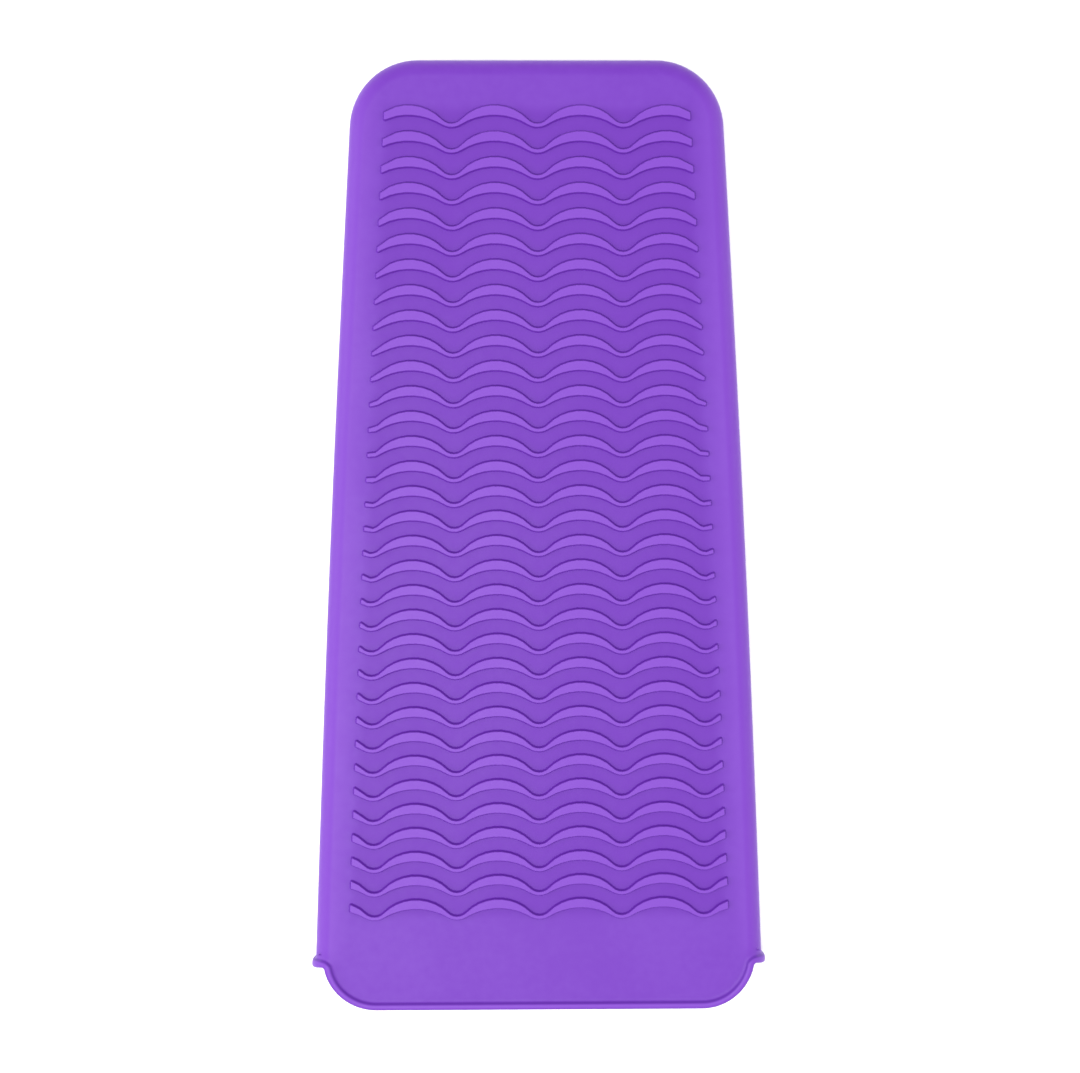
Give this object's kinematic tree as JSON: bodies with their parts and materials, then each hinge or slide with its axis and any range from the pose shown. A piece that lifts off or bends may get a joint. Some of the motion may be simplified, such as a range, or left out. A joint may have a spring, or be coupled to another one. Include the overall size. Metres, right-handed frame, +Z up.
{
  "type": "flat iron sleeve and heat mat",
  "caption": "Tapered silicone pouch for a hot flat iron: open at the wide end with rounded lipped tabs, wavy ribs on both faces, also used as a heat mat.",
  "frame": {"origin": "middle of the footprint at the surface it lies on", "axes": "+Y towards the closed narrow end, -Y towards the open mouth, +Z up out of the front face, +X to the right seen from above with the closed end away"},
  "size_m": [0.1422, 0.2916, 0.0122],
  "materials": {
    "shell": "satin",
    "ribs": "satin",
    "lip": "satin"
  },
  "bodies": {
    "back_wall": {"back_panel": "shell", "back_ribs": "ribs", "left_side_edge": "shell", "right_side_edge": "shell", "closed_end_edge": "shell", "left_end_corner": "shell", "right_end_corner": "shell", "left_ear": "lip", "right_ear": "lip"},
    "front_wall": {"front_panel": "shell", "front_ribs": "ribs"},
    "front_tab": {"front_tab": "shell", "front_lip": "lip"},
    "back_tab": {"back_tab": "shell", "back_lip": "lip"}
  },
  "joints": [
    {"name": "mouth_gape", "type": "hinge", "parent": "back_wall", "child": "front_wall", "pos_m": [0, 0.14075, 0.0111], "axis": [-1, 0, 0], "range_deg": [0, 5], "stiffness_Nm_per_rad": 3},
    {"name": "front_tab_peel", "type": "hinge", "parent": "front_wall", "child": "front_tab", "pos_m": [0, -0.13285, 0.0111], "axis": [-1, 0, 0], "range_deg": [0, 80], "stiffness_Nm_per_rad": 0.02},
    {"name": "back_tab_lift", "type": "hinge", "parent": "back_wall", "child": "back_tab", "pos_m": [0, -0.13285, 0.0031], "axis": [-1, 0, 0], "range_deg": [0, 15], "stiffness_Nm_per_rad": 0.02}
  ]
}
